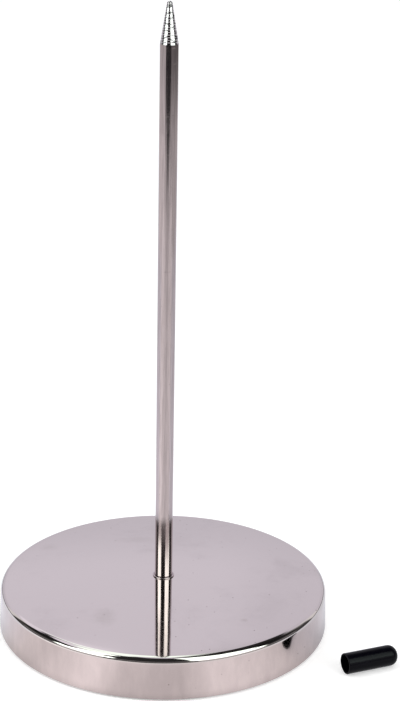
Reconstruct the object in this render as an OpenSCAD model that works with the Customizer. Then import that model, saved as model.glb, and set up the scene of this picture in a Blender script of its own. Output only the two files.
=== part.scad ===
// Receipt spike: a weighted round base with an upright pointed rod, and the soft cap
// that guards its point, lying on the surface beside it.
// Millimetres. Origin: centre of the rubber foot's underside. +Z up the rod, -Y towards the viewer.

/* [Base] */
// Diameter at the skirt's foot
base_d = 85; // [70:1:110]
// Height of the top at its rounded edge, above the surface
base_h = 11.3; // [11.2:0.1:18]
// How much higher the slightly domed top is at the rod
top_crown = 1.4; // [1:0.1:2]
// Outside radius of the drawn top edge
edge_r = 1.6; // [1.2:0.1:2.4]
// Thickness of the plated steel sheet
sheet_t = 0.8; // [0.6:0.1:1]
// Draft of the skirt, in degrees
skirt_draft = 2; // [0.5:0.1:3]

/* [Spike] */
// Overall height from the surface to the point
spike_h = 160; // [120:1:200]
// Rod diameter
rod_d = 4.5; // [4:0.1:6]
// Length of the ground point
point_len = 10; // [8:0.5:16]
// Radius of the blunted tip
tip_r = 0.7; // [0.3:0.05:0.8]
// Thickness of the ring under the rod's foot
ring_t = 0.3; // [0.2:0.05:0.6]
// How far the ring stands out around the rod
ring_out = 0.5; // [0.3:0.05:1]

/* [Weight and foot] */
// Thickness of the rubber foot under the base
rubber_t = 2; // [1.5:0.1:2.5]
// How far the rubber foot stands below the hem
rubber_proud = 0.4; // [0.2:0.05:0.6]
// Diameter of the nut's pocket in the weight
pocket_d = 14; // [12:0.5:20]
// Depth of metal left above the pocket
web_t = 3.7; // [3:0.1:3.8]

/* [Cap] */
// Wall thickness of the cap
cap_wall = 0.35; // [0.3:0.05:0.8]
// Length of the cap
cap_len = 14.2; // [12:0.1:20]
// Distance from the skirt's foot to the cap's mouth
cap_gap = 10.7; // [8:0.1:30]
// Bearing of the cap's mouth from the base's centre, in degrees from +X
cap_bearing = -32.1; // [-50:0.1:-10]
// Direction in which the cap's closed end lies, in degrees from +X
cap_turn = 21.7; // [-20:0.1:40]

/* [Hidden] */
$fn = 96;
eps = 0.01;

// Fastener sizes: M3 stud, nut and washers
stud_r = 1.5;
stud_clear = 0.1;
thread_clear = 0.05;
thread_pitch = 0.5;
thread_depth = 0.3;
nut_af = 5.5;
nut_h = 2.4;
washer_r = 3.5;
washer_t = 0.5;
spring_r = 3;
spring_t = 0.8;
spring_gap = 0.7;
stud_past_nut = 1;

// Cover
skirt_r = base_d / 2;
hem_r = 0.45;
edge_z = base_h - edge_r;
hem_z = rubber_proud;
skirt_foot_z = hem_z + hem_r;
edge_in_r = edge_r - sheet_t;
tan_x = cos(skirt_draft);
tan_z = sin(skirt_draft);
edge_x = skirt_r - edge_r * tan_x - (edge_z + edge_r * tan_z - skirt_foot_z) * tan(skirt_draft);
skirt_in_foot_r = skirt_r - sheet_t / tan_x;

// Dome of the top: a sphere that meets the rounded edge without a crease
top_z = base_h + top_crown;
crown_r = (edge_x * edge_x + pow(edge_r + top_crown, 2) - edge_r * edge_r) / (2 * top_crown);
crown_z = top_z - crown_r;
crown_a = asin(edge_x / (crown_r - edge_r));
crown_in_r = crown_r - sheet_t;
crown_fn = 2880;

// Weight and rubber foot
side_clear = 0.4;
weight_top = base_h - sheet_t;
seat_clear = 0.02;
weight_r = edge_x + edge_in_r - side_clear;
weight_chamfer = 1;
pocket_r = pocket_d / 2;
boss_r = pocket_r + 3;
boss_top = crown_z + sqrt(crown_in_r * crown_in_r - boss_r * boss_r) - seat_clear;
pocket_top = boss_top - web_t;
pocket_chamfer = 0.6;
rubber_r = skirt_in_foot_r - side_clear;
stud_hole_r = stud_r + stud_clear;

// Rod
rod_r = rod_d / 2;
ring_r = rod_r + ring_out;
foot_z = top_z + ring_t;
point_z = spike_h - point_len;
tip_z = spike_h - tip_r;
point_reach = norm([rod_r, tip_z - point_z]);
point_a = atan(rod_r / (tip_z - point_z)) - asin(tip_r / point_reach);
washer_z = pocket_top - washer_t;
spring_z = washer_z - spring_t;
nut_z = spring_z - nut_h;
stud_z = nut_z - stud_past_nut;
stud_chamfer = 0.4;
thread_z = stud_z + stud_chamfer;
thread_count = floor((pocket_top - thread_z) / thread_pitch);
foot_chamfer = 0.15;

// Cap
cap_bore_r = rod_r;
cap_r = cap_bore_r + cap_wall;
cap_end_flat = 0.4;
cap_bore_flat = 0.45;
cap_end_t = 1.2;
cap_dome_r = cap_r - cap_end_flat;
cap_bore_dome_r = cap_bore_r - cap_bore_flat;
cap_bore_len = cap_len - cap_end_t;
cap_mouth_r = 0.15;
cap_lift = 0.05;
cap_dist = skirt_r + cap_gap;

// Half section of the dome, out to where it meets an edge of the given radius
module crown(dome_r, round_r) {
    intersection() {
        translate([0, crown_z]) circle(r = dome_r, $fn = crown_fn);
        translate([0, edge_z]) square([edge_x + round_r * sin(crown_a), top_z - edge_z]);
    }
}

// Half section of the cover's outside, filled in to the axis
module cover_outside() {
    polygon([
        [0, skirt_foot_z],
        [skirt_r, skirt_foot_z],
        [edge_x + edge_r * tan_x, edge_z + edge_r * tan_z],
        [edge_x, edge_z + eps],
        [0, edge_z + eps]
    ]);
    translate([edge_x, edge_z]) circle(r = edge_r);
    crown(crown_r, edge_r);
}

// Half section of the cover's hollow
module cover_inside() {
    polygon([
        [0, -eps],
        [skirt_in_foot_r, -eps],
        [skirt_in_foot_r, skirt_foot_z],
        [edge_x + edge_in_r * tan_x, edge_z + edge_in_r * tan_z],
        [edge_x, edge_z + eps],
        [0, edge_z + eps]
    ]);
    translate([edge_x, edge_z]) circle(r = edge_in_r);
    crown(crown_in_r, edge_in_r);
}

// Deep-drawn, plated steel shell with a rounded hem
module base_cover() {
    color([0.78, 0.75, 0.77])
    difference() {
        rotate_extrude() {
            difference() {
                union() {
                    cover_outside();
                    translate([skirt_r - hem_r, skirt_foot_z]) circle(r = hem_r);
                }
                cover_inside();
            }
        }
        translate([0, 0, top_z - 2 * sheet_t]) cylinder(r = stud_hole_r, h = 2 * sheet_t + eps);
    }
}

// Cast weight that fills the shell, with a boss under the dome and a pocket for the nut below
module ballast_disc() {
    color([0.25, 0.25, 0.26])
    rotate_extrude()
    polygon([
        [stud_hole_r, pocket_top],
        [pocket_r, pocket_top],
        [pocket_r, rubber_t + pocket_chamfer],
        [pocket_r + pocket_chamfer, rubber_t],
        [weight_r - weight_chamfer, rubber_t],
        [weight_r, rubber_t + weight_chamfer],
        [weight_r, weight_top - weight_chamfer],
        [weight_r - weight_chamfer, weight_top],
        [boss_r + boss_top - weight_top, weight_top],
        [boss_r, boss_top],
        [stud_hole_r, boss_top]
    ]);
}

// Turned rod: ground point, plain shank, shoulder and threaded stud
module spike_rod() {
    color([0.8, 0.77, 0.78])
    rotate_extrude() {
        polygon(concat(
            [[0, stud_z], [stud_r - stud_chamfer, stud_z]],
            [for (i = [0 : thread_count - 1]) each [
                [stud_r, thread_z + i * thread_pitch],
                [stud_r - thread_depth, thread_z + (i + 0.5) * thread_pitch]
            ]],
            [
                [stud_r, thread_z + thread_count * thread_pitch],
                [stud_r, foot_z],
                [rod_r - foot_chamfer, foot_z],
                [rod_r, foot_z + foot_chamfer],
                [rod_r, point_z],
                [tip_r * cos(point_a), tip_z + tip_r * sin(point_a)],
                [0, tip_z + tip_r * sin(point_a)]
            ]
        ));
        intersection() {
            translate([0, tip_z]) circle(r = tip_r);
            translate([0, tip_z]) square([tip_r, tip_r]);
        }
    }
}

// A flat ring round the stud
module ring(outer_r, thick) {
    difference() {
        cylinder(r = outer_r, h = thick);
        translate([0, 0, -eps]) cylinder(r = stud_hole_r, h = thick + 2 * eps);
    }
}

// Thin plated ring that the rod's shoulder stands on
module foot_ring() {
    color([0.72, 0.7, 0.71])
    translate([0, 0, top_z]) ring(ring_r, ring_t);
}

// Plain washer under the weight's web
module plain_washer() {
    color([0.7, 0.7, 0.72])
    translate([0, 0, washer_z]) ring(washer_r, washer_t);
}

// Split spring washer, tightened flat
module spring_washer() {
    color([0.35, 0.35, 0.37])
    translate([0, 0, spring_z])
    difference() {
        ring(spring_r, spring_t);
        translate([0, -spring_r, spring_t / 2])
        rotate([0, 35, 0])
        cube([spring_gap, 2 * spring_r, 4 * spring_t], center = true);
    }
}

// Hexagon nut with chamfered corners and a countersunk bore
module hex_nut() {
    corner_r = nut_af / 2 / cos(30);
    bore_r = stud_r + thread_clear;
    sink = 0.25;
    chamfer_h = (corner_r - nut_af / 2) * tan(30);
    color([0.68, 0.68, 0.7])
    translate([0, 0, nut_z])
    difference() {
        intersection() {
            cylinder(r = corner_r, h = nut_h, $fn = 6);
            rotate_extrude()
            polygon([
                [0, 0],
                [nut_af / 2, 0],
                [corner_r, chamfer_h],
                [corner_r, nut_h - chamfer_h],
                [nut_af / 2, nut_h],
                [0, nut_h]
            ]);
        }
        translate([0, 0, -eps]) cylinder(r = bore_r, h = nut_h + 2 * eps);
        translate([0, 0, -eps]) cylinder(r1 = bore_r + sink, r2 = bore_r, h = sink);
        translate([0, 0, nut_h - sink + eps]) cylinder(r1 = bore_r, r2 = bore_r + sink, h = sink);
    }
}

// Non-slip rubber disc, glued under the weight, that the whole thing stands on
module rubber_foot() {
    color([0.12, 0.12, 0.13])
    cylinder(r = rubber_r, h = rubber_t);
}

// Half section of the cap: mouth at 0, closed end at cap_len
module cap_section() {
    difference() {
        union() {
            translate([0, cap_mouth_r]) square([cap_r, cap_len - cap_dome_r - cap_mouth_r]);
            square([cap_r - cap_mouth_r, cap_mouth_r + eps]);
            translate([0, cap_len - cap_dome_r - eps]) square([cap_r - cap_dome_r, cap_dome_r + eps]);
            translate([cap_r - cap_mouth_r, cap_mouth_r]) circle(r = cap_mouth_r);
            intersection() {
                translate([cap_r - cap_dome_r, cap_len - cap_dome_r]) circle(r = cap_dome_r);
                square([cap_r, cap_len]);
            }
        }
        translate([0, -eps]) square([cap_bore_r, cap_bore_len - cap_bore_dome_r + eps]);
        square([cap_bore_r - cap_bore_dome_r, cap_bore_len]);
        intersection() {
            translate([cap_bore_r - cap_bore_dome_r, cap_bore_len - cap_bore_dome_r])
            circle(r = cap_bore_dome_r);
            square([cap_bore_r, cap_bore_len]);
        }
    }
}

// Soft vinyl point guard, taken off and lying on its side
module tip_cap() {
    color([0.03, 0.03, 0.035])
    translate([cap_dist * cos(cap_bearing), cap_dist * sin(cap_bearing), cap_r + cap_lift])
    rotate([0, 90, cap_turn])
    rotate_extrude()
    cap_section();
}

base_cover();
ballast_disc();
spike_rod();
foot_ring();
plain_washer();
spring_washer();
hex_nut();
rubber_foot();
tip_cap();
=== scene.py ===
"""Receipt spike: a pointed, plated rod on a weighted round base, and the soft cap of its point."""
import math

import bmesh
import bpy
from bpy.props import FloatProperty, FloatVectorProperty, IntProperty, PointerProperty
from mathutils import Matrix, Vector


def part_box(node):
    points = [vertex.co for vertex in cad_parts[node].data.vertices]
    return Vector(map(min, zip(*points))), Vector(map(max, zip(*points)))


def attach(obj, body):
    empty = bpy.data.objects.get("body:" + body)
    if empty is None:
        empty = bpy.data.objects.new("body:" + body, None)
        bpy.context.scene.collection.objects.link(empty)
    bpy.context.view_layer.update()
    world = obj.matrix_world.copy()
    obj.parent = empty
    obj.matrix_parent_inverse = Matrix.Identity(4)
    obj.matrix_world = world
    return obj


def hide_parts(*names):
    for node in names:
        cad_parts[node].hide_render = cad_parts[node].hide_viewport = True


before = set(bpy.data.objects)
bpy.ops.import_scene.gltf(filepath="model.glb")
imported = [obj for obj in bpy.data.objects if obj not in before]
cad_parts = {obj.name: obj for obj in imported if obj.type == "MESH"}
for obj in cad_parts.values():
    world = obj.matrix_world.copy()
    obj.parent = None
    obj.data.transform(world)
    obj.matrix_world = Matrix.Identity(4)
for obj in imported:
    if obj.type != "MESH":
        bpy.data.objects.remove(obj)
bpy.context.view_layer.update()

bl_info = {
    "name": "Receipt spike",
    "version": (1, 0, 0),
    "blender": (4, 5, 0),
    "location": "3D View > Sidebar > Spike",
    "description": "Dresses the spike's frame with turned metal, a soft cap and a plain studio",
    "category": "Object",
}

MM = 0.001
X, Z = 0, 2


def span(node, axis):
    """Lowest and highest value of a CAD node along an axis."""
    low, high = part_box(node)
    return low[axis], high[axis]


COVER_FOOT = span("base_cover", Z)[0]
COVER_R = span("base_cover", X)[1]
ROD_LOW, ROD_TOP = span("spike_rod", Z)
ROD_R = span("spike_rod", X)[1]
RING_LOW, RING_TOP = span("foot_ring", Z)
RING_R = span("foot_ring", X)[1]
RUBBER_TOP = span("rubber_foot", Z)[1]
RUBBER_R = span("rubber_foot", X)[1]

# Small edges and insets of the pieces
EDGE_BREAK = 0.1 * MM
SHOULDER_BREAK = 0.15 * MM
HEM_LIP = 0.01 * MM
NECK_RISE = 0.3 * MM
THREAD_INSET = 0.4 * MM
RING_ROLL = 0.1 * MM
RUBBER_WEAR = 0.3 * MM
CAP_LIP = 0.15 * MM
CAP_END_FLAT = 0.4 * MM
CAP_BORE_FLAT = 0.45 * MM

# Sides of a turned piece, and the bend in radians past which its edges stay sharp
SIDES = 192
SHARP = 0.6
POINT_SHARP = 0.14
# Points closer than this, in metres, are one
SEAM = 1e-7
# Steps of the point's cone in each turning mark
MARK_STEPS = 4


# Sizes and colours

def length(name, description, default, most=0.2):
    """A size in metres."""
    return FloatProperty(
        name=name, description=description, default=default, min=0, max=most, unit="LENGTH", precision=5,
    )


def angle(name, description, degrees):
    """An angle, given in degrees."""
    return FloatProperty(name=name, description=description, default=math.radians(degrees), subtype="ANGLE")


def colour(name, description, default):
    """A linear colour."""
    return FloatVectorProperty(
        name=name, description=description, default=default, size=3, min=0, max=1, subtype="COLOR",
    )


class CoverSizes(bpy.types.PropertyGroup):
    """Sizes of the drawn cover"""
    radius: length("Foot radius", "Radius at the skirt's foot", COVER_R)
    top: length("Top", "Height of the slightly domed top at the rod", RING_LOW)
    crown: length("Dome", "How much lower the top is at its edge", 1.4 * MM)
    foot: length("Foot", "Height of the hem's underside", COVER_FOOT)
    edge: length("Edge radius", "Outside radius of the drawn edge", 1.6 * MM)
    sheet: length("Sheet", "Thickness of the sheet", 0.8 * MM)
    hem: length("Hem radius", "Radius of the rounded hem", 0.45 * MM)
    draft: angle("Draft", "Draft of the skirt", 2)
    hole: length("Hole radius", "Radius of the hole for the stud", 1.6 * MM)


class RodSizes(bpy.types.PropertyGroup):
    """Sizes of the pointed rod"""
    radius: length("Radius", "Radius of the shank", ROD_R)
    top: length("Top", "Height of the point", ROD_TOP)
    foot: length("Foot", "Height of the shoulder", RING_TOP)
    low: length("Stud end", "Height of the stud's lower end", ROD_LOW)
    neck: length("Thread top", "Height where the thread gives way to the plain stud", 8 * MM)
    point: length("Point", "Length of the ground point", 10 * MM)
    tip: length("Tip radius", "Radius of the blunted tip", 0.7 * MM)
    stud: length("Stud radius", "Outside radius of the stud", 1.5 * MM)
    thread_depth: length("Thread depth", "Depth of the thread", 0.3 * MM)
    pitch: length("Pitch", "Pitch of the thread", 0.5 * MM)
    rings: IntProperty(name="Turning marks", description="Marks along the point", default=16, min=0, max=60)
    ring_depth: length("Mark depth", "Depth of a turning mark", 0.072 * MM)


class CapSizes(bpy.types.PropertyGroup):
    """Sizes and place of the loose cap"""
    radius: length("Radius", "Outside radius", ROD_R + 0.35 * MM)
    bore: length("Bore radius", "Inside radius", ROD_R)
    reach: length("Length", "Length from mouth to closed end", 14.2 * MM)
    end: length("End", "Thickness of the closed end", 1.2 * MM)
    lift: length("Lift", "Gap under the cap", 0.05 * MM)
    distance: length("Distance", "From the base's axis to the mouth", COVER_R + 10.7 * MM)
    bearing: angle("Bearing", "Bearing of the mouth", -32.1)
    turn: angle("Turn", "Way the closed end lies", 21.7)


class SpikeFinish(bpy.types.PropertyGroup):
    """Colours of the finishes"""
    plate: colour("Plated top", "Bright nickel of the top", (0.58, 0.523, 0.512))
    skirt: colour("Plated skirt", "Bright nickel of the skirt", (0.61, 0.512, 0.512))
    rod: colour("Plated rod", "Bright nickel of the rod", (0.462, 0.391, 0.398))
    point: colour("Ground point", "Bare ground steel of the point", (0.535, 0.496, 0.51))
    vinyl: colour("Cap", "Black vinyl", (0.0016, 0.0014, 0.0032))
    rubber: colour("Rubber", "Black rubber", (0.02, 0.02, 0.021))
    iron: colour("Cast weight", "Cast iron", (0.07, 0.07, 0.073))
    zinc: colour("Fasteners", "Zinc plate", (0.5, 0.5, 0.53))


class StageSettings(bpy.types.PropertyGroup):
    """Camera, floor and light"""
    distance: length("Distance", "From the camera to the point that it circles", 0.41403, 2)
    height: length("Height", "Height of that point", 0.08)
    elevation: angle("Elevation", "Camera above the horizon", 17.597)
    aside: angle("Aside", "How far the camera looks aside", -1.23)
    dip: angle("Dip", "How far the camera looks below that point", 0.741)
    roll: angle("Roll", "Roll of the camera", 1.024)
    focal: FloatProperty(name="Focal length", description="In pixels of the picture", default=1670.8)
    long_side: IntProperty(name="Long side", description="The picture's long side, in pixels", default=701)
    ambient: FloatProperty(name="Ambient", description="Light from all round", default=0.7)
    box_power: FloatProperty(name="Softbox", description="Power of a softbox", default=2.6, unit="POWER")


class SpikeSettings(bpy.types.PropertyGroup):
    """All settings of the spike"""
    cover: PointerProperty(type=CoverSizes)
    rod: PointerProperty(type=RodSizes)
    cap: PointerProperty(type=CapSizes)
    finish: PointerProperty(type=SpikeFinish)
    stage: PointerProperty(type=StageSettings)


# Nodes

# The sockets of a Mix node that mixes colours: factor, first and second, and the result
MIX_INPUTS = (0, 6, 7)
MIX_RESULT = 2


def give(tree, socket, value):
    """Links a socket to another one, or sets its value. A colour gets its alpha here."""
    if isinstance(value, bpy.types.NodeSocket):
        tree.links.new(value, socket)
    elif socket.type == "RGBA":
        socket.default_value = (*value, 1)
    else:
        socket.default_value = value


def add(tree, kind, inputs=None, **values):
    """A new node with its properties set and its inputs set or linked."""
    made = tree.nodes.new(kind)
    for name, value in values.items():
        setattr(made, name, value)
    for name, value in (inputs or {}).items():
        give(tree, made.inputs[name], value)
    return made


def calc(tree, operation, *values):
    """The result of a Math node."""
    return add(tree, "ShaderNodeMath", dict(enumerate(values)), operation=operation).outputs[0]


def weaker(tree, mask, share):
    """A mask at a share of its strength."""
    return calc(tree, "MULTIPLY", mask, share)


def inverse(tree, mask):
    """A mask turned round: 1 where it was 0."""
    return calc(tree, "SUBTRACT", 1.0, mask)


def step(tree, value, low, high):
    """0 below low and 1 above high, smooth between them."""
    limits = {"Value": value, "From Min": low, "From Max": high}
    return add(tree, "ShaderNodeMapRange", limits, interpolation_type="SMOOTHSTEP").outputs["Result"]


def scaled(tree, value, low, high):
    """A 0 to 1 value spread from low to high."""
    return add(tree, "ShaderNodeMapRange", {"Value": value, "To Min": low, "To Max": high}).outputs["Result"]


def mixed(tree, factor, first, second, blend="MIX"):
    """Two colours mixed by a factor."""
    made = add(tree, "ShaderNodeMix", data_type="RGBA", blend_type=blend)
    for index, value in zip(MIX_INPUTS, (factor, first, second)):
        give(tree, made.inputs[index], value)
    return made.outputs[MIX_RESULT]


def ramp(tree, value, stops):
    """A ramp of grey stops by bearing in degrees, over a bearing given as a share of a turn."""
    made = add(tree, "ShaderNodeValToRGB", {"Fac": value})
    elements = made.color_ramp.elements
    for degrees, _ in stops[1:-1]:
        elements.new(degrees / 360 + 0.5)
    for element, (_, grey) in zip(elements, stops):
        element.color = (grey, grey, grey, 1)
    return made.outputs["Color"]


def bearing_of(tree, x, y):
    """Bearing in radians: 0 on the viewer's side, positive to the right."""
    return calc(tree, "ARCTAN2", x, calc(tree, "MULTIPLY", y, -1.0))


def object_place(tree):
    """Object coordinates."""
    return tree.nodes.new("ShaderNodeTexCoord").outputs["Object"]


def stretched(tree, place, scale, rotation=(0.0, 0.0, 0.0)):
    """Coordinates turned and scaled along each axis."""
    return add(tree, "ShaderNodeMapping", {"Vector": place, "Rotation": rotation, "Scale": scale}).outputs[0]


def noise(tree, place, detail, scale=1.0, **inputs):
    """Cloudy noise about 0.5."""
    values = {"Vector": place, "Scale": scale, "Detail": detail, **inputs}
    return add(tree, "ShaderNodeTexNoise", values).outputs["Fac"]


def new_group(name, kind, sockets):
    """A node group with its sockets: (in or out, name, type, default)."""
    group = bpy.data.node_groups.new(name, kind)
    for way, label, socket_type, default in sockets:
        socket = group.interface.new_socket(label, in_out=way, socket_type=socket_type)
        if default is not None:
            socket.default_value = default
    return group, group.nodes.new("NodeGroupInput"), group.nodes.new("NodeGroupOutput")


def socket_name(word):
    """A keyword as a socket's name: smudge_scale is Smudge scale."""
    return word.replace("_", " ").capitalize()


# Turned pieces

def turning_tree():
    """Turns a profile, a chain of points in X and Z, round the Z axis."""
    tree, into, out = new_group("Turned piece", "GeometryNodeTree", [
        ("OUTPUT", "Geometry", "NodeSocketGeometry", None),
        ("INPUT", "Profile", "NodeSocketGeometry", None),
        ("INPUT", "Segments", "NodeSocketInt", SIDES),
        ("INPUT", "Sharp angle", "NodeSocketFloat", SHARP),
        ("INPUT", "Material", "NodeSocketMaterial", None),
    ])
    profile, segments = into.outputs["Profile"], into.outputs["Segments"]
    count = add(tree, "GeometryNodeAttributeDomainSize", {"Geometry": profile}).outputs["Point Count"]
    columns = calc(tree, "ADD", segments, 1.0)
    grid = add(tree, "GeometryNodeMeshGrid", {"Vertices X": columns, "Vertices Y": count})
    index = tree.nodes.new("GeometryNodeInputIndex").outputs["Index"]
    column = calc(tree, "FLOOR", calc(tree, "DIVIDE", calc(tree, "ADD", index, 0.5), count))
    row = calc(tree, "SUBTRACT", index, calc(tree, "MULTIPLY", column, count))
    place = tree.nodes.new("GeometryNodeInputPosition").outputs["Position"]
    sample = add(
        tree, "GeometryNodeSampleIndex", {"Geometry": profile, "Value": place, "Index": row},
        data_type="FLOAT_VECTOR", domain="POINT",
    )
    point = add(tree, "ShaderNodeSeparateXYZ", {0: sample.outputs["Value"]})
    round_axis = calc(tree, "MULTIPLY", calc(tree, "DIVIDE", column, segments), math.tau)
    turned = add(tree, "ShaderNodeCombineXYZ", {
        "X": calc(tree, "MULTIPLY", point.outputs["X"], calc(tree, "COSINE", round_axis)),
        "Y": calc(tree, "MULTIPLY", point.outputs["X"], calc(tree, "SINE", round_axis)),
        "Z": point.outputs["Z"],
    })
    moved = add(tree, "GeometryNodeSetPosition", {
        "Geometry": grid.outputs["Mesh"], "Position": turned.outputs[0],
    })
    closed = add(tree, "GeometryNodeMergeByDistance", {"Geometry": moved.outputs[0], "Distance": SEAM})
    bend = tree.nodes.new("GeometryNodeInputMeshEdgeAngle").outputs["Unsigned Angle"]
    shading = {"FACE": True, "EDGE": calc(tree, "LESS_THAN", bend, into.outputs["Sharp angle"])}
    shaded = closed
    for domain, smooth in shading.items():
        shaded = add(
            tree, "GeometryNodeSetShadeSmooth", {"Geometry": shaded.outputs[0], "Shade Smooth": smooth},
            domain=domain,
        )
    finish_tree(tree, shaded.outputs[0], into, out)
    return tree


def thread_tree():
    """A screw thread: a ridge wound round a stud."""
    tree, into, out = new_group("Screw thread", "GeometryNodeTree", [
        ("OUTPUT", "Geometry", "NodeSocketGeometry", None),
        ("INPUT", "Geometry", "NodeSocketGeometry", None),
        ("INPUT", "Turns", "NodeSocketFloat", None),
        ("INPUT", "Radius", "NodeSocketFloat", None),
        ("INPUT", "Height", "NodeSocketFloat", None),
        ("INPUT", "Ridge", "NodeSocketFloat", None),
        ("INPUT", "Low", "NodeSocketFloat", None),
        ("INPUT", "Material", "NodeSocketMaterial", None),
    ])
    spiral = add(tree, "GeometryNodeCurveSpiral", {
        "Resolution": 48,
        "Rotations": into.outputs["Turns"],
        "Start Radius": into.outputs["Radius"],
        "End Radius": into.outputs["Radius"],
        "Height": into.outputs["Height"],
    })
    ridge = add(tree, "GeometryNodeCurvePrimitiveCircle", {"Resolution": 6, "Radius": into.outputs["Ridge"]})
    swept = add(tree, "GeometryNodeCurveToMesh", {
        "Curve": spiral.outputs["Curve"], "Profile Curve": ridge.outputs["Curve"], "Fill Caps": True,
    })
    lift = add(tree, "ShaderNodeCombineXYZ", {"Z": into.outputs["Low"]})
    lifted = add(tree, "GeometryNodeTransform", {
        "Geometry": swept.outputs["Mesh"], "Translation": lift.outputs[0],
    })
    finish_tree(tree, lifted.outputs[0], into, out)
    return tree


def finish_tree(tree, geometry, into, out):
    """Ends a tree in Realize Instances and Set Material."""
    real = add(tree, "GeometryNodeRealizeInstances", {"Geometry": geometry})
    dressed = add(tree, "GeometryNodeSetMaterial", {
        "Geometry": real.outputs[0], "Material": into.outputs["Material"],
    })
    tree.links.new(dressed.outputs[0], out.inputs["Geometry"])


def grow(name, mesh, tree, material, move=None, **inputs):
    """Runs a tree on a mesh and keeps the result as a plain mesh object."""
    maker = bpy.data.objects.new(name + "_maker", mesh)
    bpy.context.scene.collection.objects.link(maker)
    modifier = maker.modifiers.new("Shape", "NODES")
    modifier.node_group = tree
    wanted = {socket_name(word): value for word, value in inputs.items()}
    wanted["Material"] = material
    for item in tree.interface.items_tree:
        if item.in_out == "INPUT" and item.name in wanted:
            modifier[item.identifier] = wanted[item.name]
    graph = bpy.context.evaluated_depsgraph_get()
    result = bpy.data.meshes.new_from_object(maker.evaluated_get(graph), depsgraph=graph)
    maker.modifiers.clear()
    bpy.data.objects.remove(maker)
    result.name = name
    shape = bmesh.new()
    shape.from_mesh(result)
    bmesh.ops.recalc_face_normals(shape, faces=shape.faces)
    if move is not None:
        bmesh.ops.transform(shape, matrix=move, verts=shape.verts)
    shape.to_mesh(result)
    shape.free()
    piece = bpy.data.objects.new(name, result)
    bpy.context.scene.collection.objects.link(piece)
    return piece


def turn(name, points, material, segments=SIDES, move=None, sharp=SHARP):
    """A turned piece from its profile."""
    tree = bpy.data.node_groups.get("Turned piece") or turning_tree()
    mesh = bpy.data.meshes.new(name + "_profile")
    mesh.from_pydata([(x, 0, z) for x, z in points], [(i, i + 1) for i in range(len(points) - 1)], [])
    return grow(name, mesh, tree, material, move, segments=segments, sharp_angle=sharp)


def arc(x, z, radius, start, end, steps):
    """Points of an arc in the profile's plane, angles in degrees from +X towards +Z."""
    angles = [math.radians(start + (end - start) * i / steps) for i in range(steps + 1)]
    return [(x + radius * math.cos(a), z + radius * math.sin(a)) for a in angles]


def line(first, second, steps):
    """Points between two points, without the first."""
    return [tuple(a + (b - a) * i / steps for a, b in zip(first, second)) for i in range(1, steps + 1)]


def rise(radius, x):
    """The angle in degrees at which an arc round a point on the axis is at x."""
    return 90 - math.degrees(math.asin(x / radius))


# Shared shader groups

def polar_group():
    """Where a point lies: its radius, its bearing as a share of a turn, and its height."""
    group, _, out = new_group("Place round the axis", "ShaderNodeTree", [
        ("OUTPUT", "Radius", "NodeSocketFloat", None),
        ("OUTPUT", "Bearing", "NodeSocketFloat", None),
        ("OUTPUT", "Height", "NodeSocketFloat", None),
    ])
    x, y, z = add(group, "ShaderNodeSeparateXYZ", {0: object_place(group)}).outputs
    square = calc(group, "ADD", calc(group, "MULTIPLY", x, x), calc(group, "MULTIPLY", y, y))
    share = calc(group, "ADD", calc(group, "DIVIDE", bearing_of(group, x, y), math.tau), 0.5)
    group.links.new(calc(group, "SQRT", square), out.inputs["Radius"])
    group.links.new(share, out.inputs["Bearing"])
    group.links.new(z, out.inputs["Height"])
    return group


def handling_group():
    """Marks of handling: soft smudges, fine specks and hairline scratches. The scales are per metre."""
    group, into, out = new_group("Handling marks", "ShaderNodeTree", [
        ("INPUT", "Smudge scale", "NodeSocketFloat", 60.0),
        ("INPUT", "Speck scale", "NodeSocketFloat", 700.0),
        ("OUTPUT", "Smudge", "NodeSocketFloat", None),
        ("OUTPUT", "Speck", "NodeSocketFloat", None),
        ("OUTPUT", "Scratch", "NodeSocketFloat", None),
    ])
    place = object_place(group)
    cloud = noise(
        group, place, detail=5.0, scale=into.outputs["Smudge scale"], Roughness=0.6, Distortion=0.4,
    )
    group.links.new(step(group, cloud, 0.52, 0.78), out.inputs["Smudge"])
    cells = add(group, "ShaderNodeTexVoronoi", {"Vector": place, "Scale": into.outputs["Speck scale"]})
    dots = inverse(group, step(group, cells.outputs["Distance"], 0.06, 0.14))
    chance = add(group, "ShaderNodeSeparateColor", {0: cells.outputs["Color"]}).outputs[0]
    rare = step(group, chance, 0.72, 0.8)
    group.links.new(calc(group, "MULTIPLY", dots, rare), out.inputs["Speck"])
    drawn = stretched(group, place, (25.0, 900.0, 900.0), (0.2, 0.3, 0.7))
    hair = step(group, noise(group, drawn, detail=2.0), 0.66, 0.74)
    group.links.new(hair, out.inputs["Scratch"])
    return group


SHARED_GROUPS = {"Place round the axis": polar_group, "Handling marks": handling_group}


def placed(tree, name, **inputs):
    """The outputs of a shared group that is placed in a material."""
    made = tree.nodes.new("ShaderNodeGroup")
    made.node_tree = bpy.data.node_groups.get(name) or SHARED_GROUPS[name]()
    for word, value in inputs.items():
        made.inputs[socket_name(word)].default_value = value
    return made.outputs


def new_material(name, metallic=0.0):
    """A material with its node tree and its Principled shader."""
    material = bpy.data.materials.new(name)
    material.use_nodes = True
    shader = material.node_tree.nodes["Principled BSDF"]
    shader.inputs["Metallic"].default_value = metallic
    return material, material.node_tree, shader


def feed(tree, shader, shade, rough):
    """Feeds the shader's colour and roughness."""
    tree.links.new(shade, shader.inputs["Base Color"])
    tree.links.new(rough, shader.inputs["Roughness"])


def bump(tree, shader, height, distance):
    """A bump that feeds the shader's normal."""
    made = add(tree, "ShaderNodeBump", {"Height": height, "Distance": distance})
    tree.links.new(made.outputs["Normal"], shader.inputs["Normal"])


def tinted(shade, share):
    """A colour made darker or lighter."""
    return tuple(c * share for c in shade)


# Finishes

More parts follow.
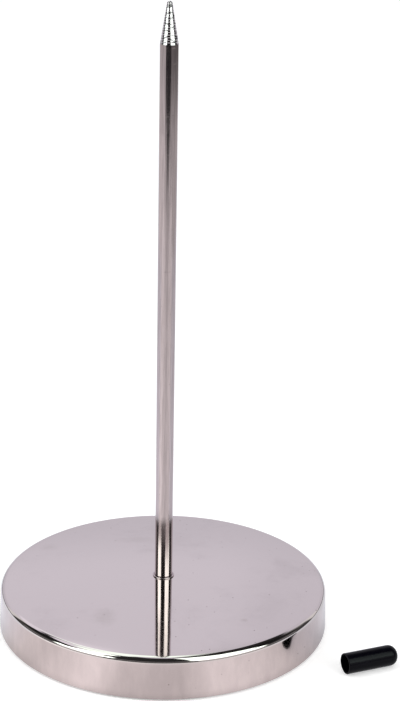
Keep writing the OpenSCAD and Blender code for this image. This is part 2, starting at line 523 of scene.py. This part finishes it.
# Finger marks on the top: place, half width and half depth in metres, and strength.
STAINS = (
    ((-0.0144, -0.0224), (0.0028, 0.004), 0.32),
    ((-0.007, 0.0225), (0.0056, 0.0022), 0.2),
    ((-0.031, 0.0186), (0.0024, 0.002), 0.2),
    ((0.0201, -0.0234), (0.0009, 0.0008), 0.45),
)
# What a finger mark leaves of the nickel's colour
STAIN_TINT = (0.7, 0.7, 0.665)

# Dirt, dust and rust, and the painted shade on the ring next to the rod
COVER_DIRT = (0.12, 0.1, 0.1)
ROD_DIRT = (0.1, 0.09, 0.09)
# Painted shade: the dark colour of the ring's inner part, next to the rod
RING_ROD_SHADE = (0.1, 0.085, 0.08)
RING_SMUDGE = (0.16, 0.14, 0.14)
VINYL_DUST = (0.1, 0.1, 0.1)
RUBBER_DUST = (0.18, 0.17, 0.16)
RUST = (0.12, 0.06, 0.035)
GRIME = (0.1, 0.09, 0.08)

# Blackened steel of the spring washer
SPRING_BLACK = (0.09, 0.09, 0.1)
# Least roughness of the fasteners, and how much their smudges add
ZINC_DULL = 0.25
SPRING_DULL = 0.35
SMUDGE_DULL = 0.2
# How strongly the vinyl mirrors
VINYL_GLOSS = 0.075
# Where the skirt's colour gives way to the top's, in edge radii below the rim
SKIRT_FADE = (1.1, 0.7)
# Radii between which the painted shade on the ring, next to the rod, ends
RING_ROD_SHADE_EDGE = (RING_R - 0.5 * MM, RING_R - 0.2 * MM)
# Half the width of the change from plated shank to ground point
GROUND_EDGE = 0.05 * MM


def stain_mask(tree, place, middle, half, strength):
    """A soft, ragged patch round a place on the top."""
    near = add(tree, "ShaderNodeMapping", {
        "Vector": place,
        "Location": (-middle[0] / half[0], -middle[1] / half[1], 0.0),
        "Scale": (1 / half[0], 1 / half[1], 0.0),
    })
    away = add(tree, "ShaderNodeVectorMath", {0: near.outputs[0]}, operation="LENGTH").outputs["Value"]
    ragged = scaled(tree, noise(tree, place, detail=3.0, scale=700.0), -0.5, 0.5)
    patch = inverse(tree, step(tree, calc(tree, "ADD", away, ragged), 0.1, 1.5))
    return weaker(tree, patch, strength)


def cover_material(settings):
    """Bright nickel with smudges and specks from handling."""
    cover = settings.cover
    material, tree, shader = new_material("nickel_cover", metallic=1.0)
    place = object_place(tree)
    height = placed(tree, "Place round the axis")["Height"]
    marks = placed(tree, "Handling marks", smudge_scale=55.0, speck_scale=620.0)
    rim = cover.top - cover.crown
    low, high = (rim - cover.edge * share for share in SKIRT_FADE)
    skirt = inverse(tree, step(tree, height, low, high))
    plate = tuple(settings.finish.plate)
    stained = tuple(c * share for c, share in zip(plate, STAIN_TINT))
    top = mixed(tree, weaker(tree, marks["Smudge"], 0.6), plate, tinted(plate, 0.86))
    for stain in STAINS:
        top = mixed(tree, stain_mask(tree, place, *stain), top, stained)
    wall = tuple(settings.finish.skirt)
    streaks = noise(tree, stretched(tree, place, (300.0, 300.0, 90.0)), detail=4.0, Roughness=0.65)
    side = mixed(tree, step(tree, streaks, 0.3, 0.7), tinted(wall, 0.95), tinted(wall, 1.04))
    shade = mixed(tree, skirt, top, side)
    crowd = step(tree, noise(tree, place, detail=1.0, scale=38.0), 0.42, 0.6)
    dirt = calc(tree, "MULTIPLY", marks["Speck"], scaled(tree, crowd, 0.06, 0.65))
    shade = mixed(tree, dirt, shade, COVER_DIRT)
    rough = calc(tree, "ADD", scaled(tree, skirt, 0.05, 0.09), weaker(tree, marks["Smudge"], 0.05))
    rough = calc(tree, "ADD", rough, weaker(tree, marks["Scratch"], 0.05))
    feed(tree, shader, shade, rough)
    bump(tree, shader, noise(tree, place, detail=1.0, scale=90.0), distance=0.02 * MM)
    return material


def rod_material(settings):
    """Bright nickel with fine draw lines on the shank, and dark scale on the ground point."""
    material, tree, shader = new_material("nickel_rod", metallic=1.0)
    place = object_place(tree)
    height = placed(tree, "Place round the axis")["Height"]
    marks = placed(tree, "Handling marks", smudge_scale=120.0, speck_scale=900.0)
    point_z = settings.rod.top - settings.rod.point
    ground = step(tree, height, point_z - GROUND_EDGE, point_z + GROUND_EDGE)
    bright = tuple(settings.finish.rod)
    lines = noise(tree, stretched(tree, place, (2600.0, 2600.0, 120.0)), detail=3.0)
    shank = mixed(tree, step(tree, lines, 0.35, 0.65), tinted(bright, 0.9), tinted(bright, 1.06))
    shank = mixed(tree, weaker(tree, marks["Smudge"], 0.35), shank, tinted(bright, 0.85))
    steel = tuple(settings.finish.point)
    scale = noise(tree, stretched(tree, place, (700.0, 700.0, 2200.0)), detail=2.0)
    dark = weaker(tree, step(tree, scale, 0.5, 0.64), 0.9)
    shade = mixed(tree, ground, shank, mixed(tree, dark, steel, tinted(steel, 0.08)))
    shade = mixed(tree, weaker(tree, marks["Speck"], 0.3), shade, ROD_DIRT)
    rough = calc(tree, "ADD", scaled(tree, ground, 0.11, 0.12), weaker(tree, marks["Scratch"], 0.08))
    rough = calc(tree, "ADD", rough, weaker(tree, marks["Smudge"], 0.06))
    feed(tree, shader, shade, rough)
    bump(tree, shader, lines, distance=0.002 * MM)
    return material


def ring_material(settings):
    """Dull nickel on the thin ring, with painted shade on its inner part next to the rod."""
    material, tree, shader = new_material("nickel_ring", metallic=1.0)
    radius = placed(tree, "Place round the axis")["Radius"]
    smudge = placed(tree, "Handling marks", smudge_scale=400.0)["Smudge"]
    # Painted shade: the ring is darker towards the rod, where the two meet
    inner = inverse(tree, step(tree, radius, *RING_ROD_SHADE_EDGE))
    shade = mixed(tree, weaker(tree, inner, 0.7), tuple(settings.finish.rod), RING_ROD_SHADE)
    shade = mixed(tree, weaker(tree, smudge, 0.4), shade, RING_SMUDGE)
    feed(tree, shader, shade, scaled(tree, smudge, 0.2, 0.4))
    return material


def vinyl_material(settings):
    """Soft black vinyl: a faint grain, pale dust and scuffs that dull it."""
    material, tree, shader = new_material("black_vinyl")
    shader.inputs["Specular IOR Level"].default_value = VINYL_GLOSS
    marks = placed(tree, "Handling marks", smudge_scale=260.0, speck_scale=1600.0)
    black = tuple(settings.finish.vinyl)
    shade = mixed(tree, weaker(tree, marks["Smudge"], 0.5), black, tinted(black, 1.8))
    shade = mixed(tree, weaker(tree, marks["Speck"], 0.12), shade, VINYL_DUST)
    scuffs = weaker(tree, marks["Scratch"], 0.08)
    feed(tree, shader, shade, calc(tree, "ADD", scaled(tree, marks["Smudge"], 0.2, 0.32), scuffs))
    grain = noise(tree, object_place(tree), detail=3.0, scale=2200.0)
    bump(tree, shader, grain, distance=0.02 * MM)
    return material


def rubber_material(settings):
    """Matt black rubber with a fine pebbled grain and a little dust."""
    material, tree, shader = new_material("black_rubber")
    marks = placed(tree, "Handling marks", smudge_scale=90.0, speck_scale=900.0)
    black = tuple(settings.finish.rubber)
    shade = mixed(tree, weaker(tree, marks["Smudge"], 0.4), black, tinted(black, 1.7))
    shade = mixed(tree, weaker(tree, marks["Speck"], 0.2), shade, RUBBER_DUST)
    feed(tree, shader, shade, scaled(tree, marks["Smudge"], 0.68, 0.85))
    pebbles = add(tree, "ShaderNodeTexVoronoi", {"Vector": object_place(tree), "Scale": 1500.0})
    bump(tree, shader, pebbles.outputs["Distance"], distance=0.08 * MM)
    return material


def iron_material(settings):
    """Raw cast iron: a sandy skin with rusty patches."""
    material, tree, shader = new_material("cast_iron", metallic=0.8)
    marks = placed(tree, "Handling marks", smudge_scale=70.0, speck_scale=600.0)
    iron = tuple(settings.finish.iron)
    shade = mixed(tree, weaker(tree, marks["Smudge"], 0.6), iron, RUST)
    shade = mixed(tree, weaker(tree, marks["Speck"], 0.5), shade, tinted(iron, 0.4))
    feed(tree, shader, shade, scaled(tree, marks["Smudge"], 0.5, 0.8))
    sand = noise(tree, object_place(tree), detail=4.0, scale=900.0)
    bump(tree, shader, sand, distance=0.1 * MM)
    return material


def hardware_material(name, metal, dull):
    """Plated or blackened steel of the fasteners, with handling marks."""
    material, tree, shader = new_material(name, metallic=1.0)
    marks = placed(tree, "Handling marks", smudge_scale=500.0, speck_scale=1800.0)
    shade = mixed(tree, weaker(tree, marks["Smudge"], 0.5), metal, tinted(metal, 0.75))
    shade = mixed(tree, weaker(tree, marks["Speck"], 0.4), shade, GRIME)
    feed(tree, shader, shade, scaled(tree, marks["Smudge"], dull, dull + SMUDGE_DULL))
    return material


# Pieces

class SPIKE_OT_base_cover(bpy.types.Operator):
    """Turn the drawn cover: slightly domed top, rounded edge, skirt and rounded hem"""
    bl_idname = "spike.base_cover"
    bl_label = "Base cover"

    def execute(self, context):
        s = context.scene.spike.cover
        draft = math.degrees(s.draft)
        foot_z = s.foot + s.hem
        # The middle of the edge's arc, which the skirt leaves at its draft
        edge_z = s.top - s.crown - s.edge
        skirt_h = edge_z + s.edge * math.sin(s.draft) - foot_z
        edge_x = s.radius - s.edge * math.cos(s.draft) - skirt_h * math.tan(s.draft)
        # The dome's radius, at which it runs into the edge's arc without a kink, at the brim
        dome = (edge_x ** 2 + (s.edge + s.crown) ** 2 - s.edge ** 2) / (2 * s.crown)
        dome_z = s.top - dome
        brim = rise(dome - s.edge, edge_x)
        outside = arc(0, dome_z, dome, rise(dome, s.hole), brim, steps=24)
        outside += arc(edge_x, edge_z, s.edge, brim, draft, steps=20)[1:]
        hem = arc(s.radius - s.hem, foot_z, s.hem, 0, -90, steps=12)
        outside += line(outside[-1], hem[0], steps=6)[:-1]
        inner_foot = s.radius - s.sheet / math.cos(s.draft)
        under = dome - s.sheet
        inside = [(inner_foot, s.foot + HEM_LIP), (inner_foot, foot_z)]
        inside += arc(edge_x, edge_z, s.edge - s.sheet, draft, brim, steps=8)
        inside += arc(0, dome_z, under, brim, rise(under, s.hole), steps=12)[1:]
        points = outside + hem + inside + outside[:1]
        piece = turn("drawn_cover", points, cover_material(context.scene.spike), segments=256)
        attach(piece, "base")
        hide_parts("base_cover")
        return {"FINISHED"}


class SPIKE_OT_rod(bpy.types.Operator):
    """Turn the rod with its ground point, and wind the thread on its stud"""
    bl_idname = "spike.rod"
    bl_label = "Pointed rod"

    def execute(self, context):
        s = context.scene.spike.rod
        core = s.stud - s.thread_depth
        tip_z = s.top - s.tip
        point_z = s.top - s.point
        # The cone leaves the shank and touches the tip's ball
        reach = math.hypot(s.radius, tip_z - point_z)
        slope = math.atan(s.radius / (tip_z - point_z)) - math.asin(s.tip / reach)
        touch = (s.tip * math.cos(slope), tip_z + s.tip * math.sin(slope))
        points = [(0, s.low), (core - EDGE_BREAK, s.low), (core, s.low + EDGE_BREAK)]
        points += [(core, s.neck), (s.stud, s.neck + NECK_RISE), (s.stud, s.foot)]
        points += [(s.radius - SHOULDER_BREAK, s.foot), (s.radius, s.foot + SHOULDER_BREAK)]
        points += line(points[-1], (s.radius, point_z - EDGE_BREAK), steps=8)
        points += [(s.radius, point_z)]
        # A turning mark leans inward over its steps, and its last step comes back out to the cone
        cone = line((s.radius, point_z), touch, steps=MARK_STEPS * s.rings)
        for i, (x, z) in enumerate(cone, start=1):
            points.append((x - s.ring_depth * (i % MARK_STEPS) / (MARK_STEPS - 1), z))
        points += arc(0, tip_z, s.tip, math.degrees(slope), 90, steps=16)[1:-1] + [(0, s.top)]
        material = rod_material(context.scene.spike)
        rod = turn("pointed_rod", points, material, segments=96, sharp=POINT_SHARP)
        ridge = s.thread_depth / 2
        height = s.neck - s.low - 2 * THREAD_INSET
        thread = grow(
            "stud_thread", bpy.data.meshes.new("thread_start"), thread_tree(), material,
            turns=height / s.pitch, radius=core + ridge, height=height, ridge=ridge, low=s.low + THREAD_INSET,
        )
        for piece in (rod, thread):
            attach(piece, "base")
        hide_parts("spike_rod")
        return {"FINISHED"}


class SPIKE_OT_foot_ring(bpy.types.Operator):
    """Turn the thin ring under the rod's foot, with rolled edges"""
    bl_idname = "spike.foot_ring"
    bl_label = "Foot ring"

    def execute(self, context):
        hole = context.scene.spike.cover.hole
        edge = RING_R - RING_ROLL
        points = [(hole, RING_LOW)] + arc(edge, RING_LOW + RING_ROLL, RING_ROLL, -90, 0, steps=5)
        points += arc(edge, RING_TOP - RING_ROLL, RING_ROLL, 0, 90, steps=5)
        points += [(hole, RING_TOP), (hole, RING_LOW)]
        piece = turn("rolled_ring", points, ring_material(context.scene.spike), segments=96)
        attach(piece, "base")
        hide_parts("foot_ring")
        return {"FINISHED"}


class SPIKE_OT_tip_cap(bpy.types.Operator):
    """Form the hollow vinyl cap and lay it on the floor beside the base"""
    bl_idname = "spike.tip_cap"
    bl_label = "Point cap"

    def execute(self, context):
        s = context.scene.spike.cap
        dome = s.radius - CAP_END_FLAT
        bore_dome = s.bore - CAP_BORE_FLAT
        depth = s.reach - s.end
        points = [(0, s.reach)] + arc(s.radius - dome, s.reach - dome, dome, 90, 0, steps=14)
        points += line(points[-1], (s.radius, CAP_LIP * 2), steps=6)
        points += arc(s.radius - CAP_LIP, CAP_LIP, CAP_LIP, 0, -90, steps=5) + [(s.bore, 0)]
        points += line((s.bore, 0), (s.bore, depth - bore_dome), steps=4)
        points += arc(s.bore - bore_dome, depth - bore_dome, bore_dome, 0, 90, steps=10)[1:] + [(0, depth)]
        mouth = Vector((math.cos(s.bearing), math.sin(s.bearing), 0)) * s.distance
        mouth.z = s.radius + s.lift
        lying = Matrix.Rotation(s.turn, 4, "Z") @ Matrix.Rotation(math.pi / 2, 4, "Y")
        move = Matrix.Translation(mouth) @ lying
        piece = turn("vinyl_cap", points, vinyl_material(context.scene.spike), segments=72, move=move)
        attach(piece, "cap")
        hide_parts("tip_cap")
        return {"FINISHED"}


class SPIKE_OT_rubber_foot(bpy.types.Operator):
    """Cut the rubber disc that the base stands on, with worn edges"""
    bl_idname = "spike.rubber_foot"
    bl_label = "Rubber foot"

    def execute(self, context):
        points = [(0, 0), (RUBBER_R / 2, 0)]
        points += arc(RUBBER_R - RUBBER_WEAR, RUBBER_WEAR, RUBBER_WEAR, -90, 0, steps=6)
        points += [(RUBBER_R, RUBBER_TOP - EDGE_BREAK), (RUBBER_R - EDGE_BREAK, RUBBER_TOP), (0, RUBBER_TOP)]
        piece = turn("rubber_disc", points, rubber_material(context.scene.spike))
        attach(piece, "base")
        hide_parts("rubber_foot")
        return {"FINISHED"}


class SPIKE_OT_hidden_parts(bpy.types.Operator):
    """Finish the weight and the fasteners inside the base"""
    bl_idname = "spike.hidden_parts"
    bl_label = "Weight and fasteners"

    def execute(self, context):
        zinc = hardware_material("zinc_plate", tuple(context.scene.spike.finish.zinc), ZINC_DULL)
        finishes = {
            "ballast_disc": iron_material(context.scene.spike),
            "plain_washer": zinc,
            "hex_nut": zinc,
            "spring_washer": hardware_material("black_spring_steel", SPRING_BLACK, SPRING_DULL),
        }
        for name, material in finishes.items():
            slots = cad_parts[name].data.materials
            slots.clear()
            slots.append(material)
        return {"FINISHED"}


# Stage

# Tints of what the metal mirrors
PLAIN = (1.0, 1.0, 1.0)
LAMP = (0.94, 1.08, 1.0)
BACKDROP = (1.0, 0.975, 1.08)
COOL = (0.98, 1.03, 1.13)

# Light on the floor, near the base and further out, by bearing in degrees: 0 is the viewer's side.
CLOSE_LIGHT = (
    (-180, 0.46), (-100, 0.6), (-84, 0.58), (-64, 0.54), (-54, 0.49), (-50, 0.54), (-38, 0.71), (-28, 0.8),
    (-16, 0.47), (7, 0.38), (20, 0.67), (30, 0.67), (58, 0.44), (76, 0.36), (90, 0.48), (180, 0.46),
)
FAR_LIGHT = (
    (-180, 0.7), (-90, 0.7), (-60, 1.0), (-30, 0.78), (0, 0.56), (20, 0.62), (45, 0.76), (72, 0.64),
    (108, 0.5), (144, 0.65), (180, 0.7),
)
# How far the light on the floor is cool, by the same bearing
COOL_SIDES = ((-180, 1.0), (-86, 1.0), (-65, 0.0), (54, 0.0), (76, 1.0), (180, 1.0))

# Radii from and to, in metres: where the near light gives way to the far, where both fall off from one level
# to another, and where the base's foot shades the floor
NEAR_TO_FAR = (0.061, 0.074)
FALL_OFF = (0.04, 0.3)
FALL_LEVELS = (1.9, 1.4)
FOOT_SHADE = (COVER_R - 1 * MM, COVER_R + 5 * MM)
FOOT_SHADE_LEVEL = 0.7

# The floor's colour and roughness, the glow that makes it white to the camera, and the share of the light
# on it that the metal sees
FLOOR_COLOUR = (0.88, 0.88, 0.88, 1)
FLOOR_ROUGHNESS = 0.9
FLOOR_GLOW = 0.38
FLOOR_MIRRORED = 0.6
# The floor's reach to either side and to the front, and to the back, in metres
FLOOR_SIDE = 0.36
FLOOR_BACK = 1.6

# The lamps' places, their width and what they aim at, in metres
LAMP_PLACES = {"left_softbox": (-0.75, -0.24, 0.7), "right_softbox": (0.66, -0.52, 0.6)}
LAMP_WIDTH = 0.5
LAMP_AIM = (0, 0, 0.05)

# Width of the camera's sensor in millimetres, and its nearest and furthest sight in metres
SENSOR = 36
SIGHT = (0.01, 50)

# What the metal mirrors, each patch over those before it: bearing from and to, with 0 on the viewer's side
# and left negative, and height from and to, all in degrees; then level, tint, and softness above and below.
ROOM = (
    ((130, 190), (-5, 60), 0.96, BACKDROP, 2),
    ((-190, -130), (-5, 60), 0.96, BACKDROP, 2),
    ((130, 174.5), (-5, 60), 0.89, BACKDROP, 2),
    ((130, 190), (-5, 21), 0.81, BACKDROP, 5),
    ((-190, -130), (-5, 21), 0.81, BACKDROP, 5),
    ((-140, 140), (-9.8, -3), 0.66, PLAIN, 2),
    ((28, 140), (-18.6, -3), 0.68, PLAIN, 2),
    ((28, 140), (-9.8, -3), 0.14, PLAIN, 1.5),
    ((-190, 190), (40, 100), 0.03, PLAIN, 2),
    ((124, 176), (36, 46), 0.85, BACKDROP, 2),
    ((-176, -122), (36, 47), 1.2, BACKDROP, 2),
    ((-40, 28), (-26, -12.45), 0.8, PLAIN, 0.5),
    ((-40, 28), (-11.25, -3), 0.015, PLAIN, 0.8),
    ((-18, 14), (-12.7, -10), 0.03, PLAIN, 0.8),
    ((-40, 28), (-3, 17), 0.1, PLAIN, 2),
    ((-36, 20), (18, 100), 0.03, PLAIN, 4),
    ((-119, -74), (-4, 28), 0.08, PLAIN, 2),
    ((-121, -74), (26, 46), 0.015, PLAIN, 2),
    ((-106, -74), (8, 15), 0.3, PLAIN, 3),
    ((-160, -112), (-5, 3), 0.05, PLAIN, 2),
    ((72, 118), (-4, 28), 0.07, PLAIN, 2),
    ((72, 114), (26, 62), 0.015, PLAIN, 2),
    ((72, 100), (8, 15), 0.35, PLAIN, 3),
    ((112, 122), (24, 44), 0.3, PLAIN, 2),
    ((110, 160), (-5, 3), 0.05, PLAIN, 2),
    ((-71, -50), (5, 66), 1.1, PLAIN, 2),
    ((-71, -50), (22, 66), 4.2, LAMP, 2),
    ((-79, -34), (20, 32), 4.4, LAMP, 1),
    ((24, 70), (0, 40), 1.1, PLAIN, 2),
    ((20, 70), (22, 40), 4.0, LAMP, 2),
    ((20, 70), (38, 78), 2.8, LAMP, 2),
    ((66, 77), (40, 64), 2.8, LAMP, 2),
    ((66, 75), (20, 32), 4.0, LAMP, 1),
    ((-76, -40), (-3, 5), 0.15, PLAIN, 2),
    ((24, 72), (-3, 5), 0.15, PLAIN, 2),
    ((-160, -76), (51, 60), 1.2, BACKDROP, 2),
    ((-190, -160), (41, 80), 1.8, LAMP, 2),
    ((-162, -76), (60, 80), 1.8, LAMP, 2),
    ((174, 190), (41, 80), 1.8, LAMP, 2),
    ((166, 190), (56, 80), 1.8, LAMP, 2),
    ((-190, 190), (82, 100), 0.9, BACKDROP, 2),
)
# Softness of a patch's left and right ends, in degrees
ROOM_SIDE_SOFT = 2.5


def mirror_ray(tree, path):
    """1 for a ray that comes from a mirror or through glass."""
    return calc(tree, "MAXIMUM", path["Is Glossy Ray"], path["Is Transmission Ray"])


def floor_material():
    """Pale floor with soft shadows, white to the camera; the metal sees it lit from either side."""
    material, tree, shader = new_material("pale_floor")
    shader.inputs["Base Color"].default_value = FLOOR_COLOUR
    shader.inputs["Roughness"].default_value = FLOOR_ROUGHNESS
    shader.inputs["Emission Color"].default_value = (1, 1, 1, 1)
    path = tree.nodes.new("ShaderNodeLightPath").outputs
    tree.links.new(weaker(tree, path["Is Camera Ray"], FLOOR_GLOW), shader.inputs["Emission Strength"])
    radius, bearing, _ = placed(tree, "Place round the axis")
    close = ramp(tree, bearing, CLOSE_LIGHT)
    away = ramp(tree, bearing, FAR_LIGHT)
    pool = mixed(tree, step(tree, radius, *NEAR_TO_FAR), close, away)
    level = scaled(tree, step(tree, radius, *FALL_OFF), *FALL_LEVELS)
    contact = scaled(tree, step(tree, radius, *FOOT_SHADE), FOOT_SHADE_LEVEL, 1.0)
    seen = mixed(tree, 1.0, pool, calc(tree, "MULTIPLY", level, contact), "MULTIPLY")
    tint = mixed(tree, ramp(tree, bearing, COOL_SIDES), PLAIN, COOL)
    lit = add(tree, "ShaderNodeEmission", {"Color": mixed(tree, 1.0, seen, tint, "MULTIPLY")})
    share = weaker(tree, mirror_ray(tree, path), FLOOR_MIRRORED)
    both = add(tree, "ShaderNodeMixShader", {0: share, 1: shader.outputs[0], 2: lit.outputs[0]})
    tree.links.new(both.outputs[0], tree.nodes["Material Output"].inputs["Surface"])
    return material


def band(tree, value, low, high, soft):
    """1 between two angles in degrees, with soft ends."""
    low, high, soft = (math.radians(v) for v in (low, high, soft))
    above = step(tree, value, low - soft, low + soft)
    below = inverse(tree, step(tree, value, high - soft, high + soft))
    return calc(tree, "MULTIPLY", above, below)


def studio_world(stage):
    """White all round for the camera; in the metal a pale room with lamps, dark gaps and a dim ceiling."""
    world = bpy.data.worlds.new("studio")
    world.use_nodes = True
    tree = world.node_tree
    towards = tree.nodes.new("ShaderNodeTexCoord").outputs["Generated"]
    x, y, z = add(tree, "ShaderNodeSeparateXYZ", {0: towards}).outputs
    bearing = bearing_of(tree, x, y)
    height = calc(tree, "ARCSINE", z)
    room = PLAIN
    for across, up, level, tint, soft in ROOM:
        sideways = band(tree, bearing, *across, ROOM_SIDE_SOFT)
        mask = calc(tree, "MULTIPLY", sideways, band(tree, height, *up, soft))
        room = mixed(tree, mask, room, tinted(tint, level))
    path = tree.nodes.new("ShaderNodeLightPath").outputs
    around = mixed(tree, mirror_ray(tree, path), (stage.ambient,) * 3, room)
    seen = mixed(tree, path["Is Camera Ray"], around, PLAIN)
    tree.links.new(seen, tree.nodes["Background"].inputs["Color"])
    bpy.context.scene.world = world


def softbox(name, place, power):
    """A square lamp at a place, turned to its aim, that lights the object and isn't mirrored itself."""
    lamp = bpy.data.lights.new(name, "AREA")
    lamp.shape = "SQUARE"
    lamp.size = LAMP_WIDTH
    lamp.energy = power
    box = bpy.data.objects.new(name, lamp)
    box.location = place
    box.visible_glossy = False
    box.rotation_euler = (Vector(LAMP_AIM) - Vector(place)).to_track_quat("-Z", "Y").to_euler()
    bpy.context.scene.collection.objects.link(box)


def place_camera(stage):
    """The camera at the picture's viewing angle."""
    up_angle, yaw, roll = stage.elevation, stage.aside, stage.roll
    pitch = up_angle + stage.dip
    centre = Vector((0, -math.cos(up_angle), math.sin(up_angle))) * stage.distance
    centre.z += stage.height
    back = Vector((math.sin(yaw) * math.cos(pitch), -math.cos(yaw) * math.cos(pitch), math.sin(pitch)))
    level = Vector((math.cos(yaw), math.sin(yaw), 0))
    upright = back.cross(level)
    right = math.cos(roll) * level + math.sin(roll) * upright
    up = math.cos(roll) * upright - math.sin(roll) * level
    data = bpy.data.cameras.new("camera")
    data.sensor_fit = "AUTO"
    data.sensor_width = SENSOR
    data.lens = stage.focal * SENSOR / stage.long_side
    data.clip_start, data.clip_end = SIGHT
    camera = bpy.data.objects.new("camera", data)
    camera.matrix_world = Matrix.Translation(centre) @ Matrix((right, up, back)).transposed().to_4x4()
    bpy.context.scene.collection.objects.link(camera)
    bpy.context.scene.camera = camera


class SPIKE_OT_stage(bpy.types.Operator):
    """Set up the floor, the light and the camera"""
    bl_idname = "spike.stage"
    bl_label = "Stage"

    def execute(self, context):
        stage = context.scene.spike.stage
        mesh = bpy.data.meshes.new("floor")
        front = [(-FLOOR_SIDE, -FLOOR_SIDE, 0), (FLOOR_SIDE, -FLOOR_SIDE, 0)]
        back = [(FLOOR_SIDE, FLOOR_BACK, 0), (-FLOOR_SIDE, FLOOR_BACK, 0)]
        mesh.from_pydata(front + back, [], [(0, 1, 2, 3)])
        mesh.materials.append(floor_material())
        floor = bpy.data.objects.new("floor", mesh)
        context.scene.collection.objects.link(floor)
        studio_world(stage)
        for name, place in LAMP_PLACES.items():
            softbox(name, place, stage.box_power)
        place_camera(stage)
        context.scene.view_settings.view_transform = "Standard"
        return {"FINISHED"}


class SPIKE_PT_panel(bpy.types.Panel):
    """Pieces and settings of the spike"""
    bl_idname = "SPIKE_PT_panel"
    bl_label = "Receipt spike"
    bl_space_type = "VIEW_3D"
    bl_region_type = "UI"
    bl_category = "Spike"

    def draw(self, context):
        for operator in OPERATORS:
            self.layout.operator(operator.bl_idname)
        for name in SpikeSettings.__annotations__:
            group = getattr(context.scene.spike, name)
            box = self.layout.box()
            box.label(text=name.capitalize())
            for key in group.__annotations__:
                box.prop(group, key)


OPERATORS = (
    SPIKE_OT_base_cover, SPIKE_OT_rod, SPIKE_OT_foot_ring, SPIKE_OT_tip_cap, SPIKE_OT_rubber_foot,
    SPIKE_OT_hidden_parts, SPIKE_OT_stage,
)
SETTINGS = (CoverSizes, RodSizes, CapSizes, SpikeFinish, StageSettings, SpikeSettings)
CLASSES = (*SETTINGS, *OPERATORS, SPIKE_PT_panel)


def register():
    """Registers the classes and hangs the settings on the scene."""
    for cls in CLASSES:
        bpy.utils.register_class(cls)
    bpy.types.Scene.spike = PointerProperty(type=SpikeSettings)


def unregister():
    """Undoes register."""
    del bpy.types.Scene.spike
    for cls in reversed(CLASSES):
        bpy.utils.unregister_class(cls)


def main():
    """Builds the pieces and the stage."""
    register()
    bpy.ops.spike.base_cover()
    bpy.ops.spike.rod()
    bpy.ops.spike.foot_ring()
    bpy.ops.spike.tip_cap()
    bpy.ops.spike.rubber_foot()
    bpy.ops.spike.hidden_parts()
    bpy.ops.spike.stage()


if __name__ == "__main__":
    main()
